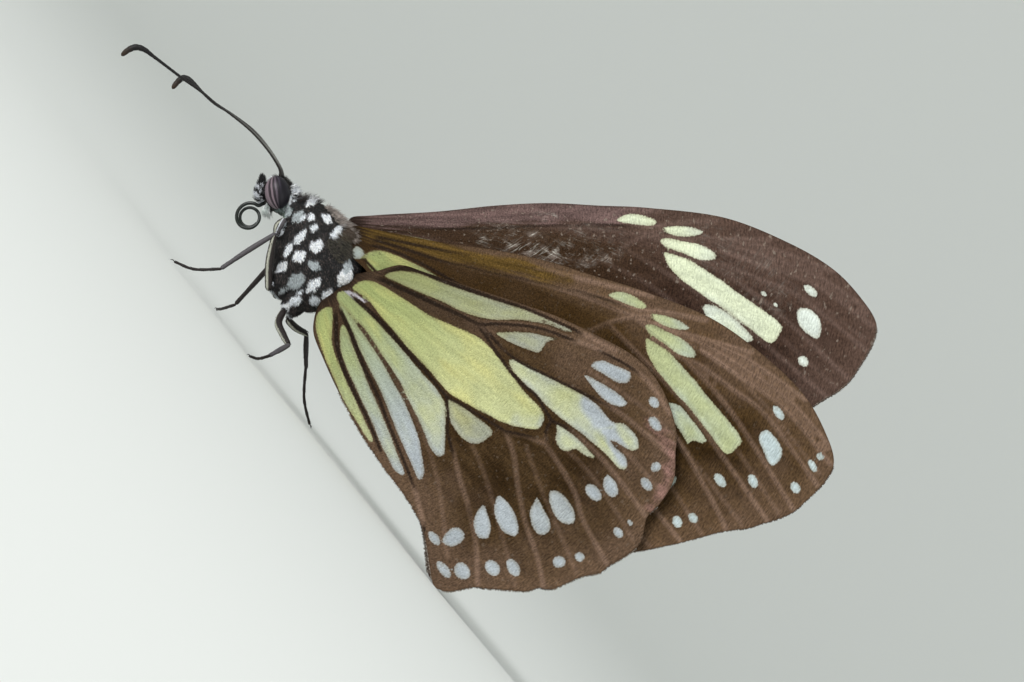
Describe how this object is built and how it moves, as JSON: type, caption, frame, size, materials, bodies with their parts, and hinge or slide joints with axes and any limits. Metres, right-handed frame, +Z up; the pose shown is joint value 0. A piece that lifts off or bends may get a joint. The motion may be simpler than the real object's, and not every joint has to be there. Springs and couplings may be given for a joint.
{
  "type": "timor yellow tiger butterfly",
  "caption": "Life-size butterfly at rest with its wings closed over its back, standing on its feet and the rear lobes of its hindwings.",
  "frame": {"origin": "centre of the insect's box on the floor, at the level of its feet", "axes": "+X from the head to the tail, +Z up, -Y the insect's left side, which faces the camera"},
  "size_m": [0.0616, 0.0148, 0.04],
  "materials": {
    "body": "black scales with white spots",
    "abdomen": "brown scales, paler below",
    "wing": "brown scales with pale yellow and bluish white markings",
    "eye": "dull gloss, mauve brown",
    "leg": "grey brown scales"
  },
  "bodies": {
    "root": {"head": "body", "eye_left": "eye", "eye_right": "eye", "palp_left": "body", "palp_right": "body", "proboscis": "body", "antenna_left": "body", "antenna_right": "body", "thorax": "body", "abdomen": "abdomen", "forewing_left": "wing", "forewing_right": "wing", "hindwing_left": "wing", "hindwing_right": "wing", "foreleg_left": "leg", "foreleg_right": "leg", "midleg_left": "leg", "midleg_right": "leg", "hindleg_left": "leg", "hindleg_right": "leg"}
  },
  "joints": []
}
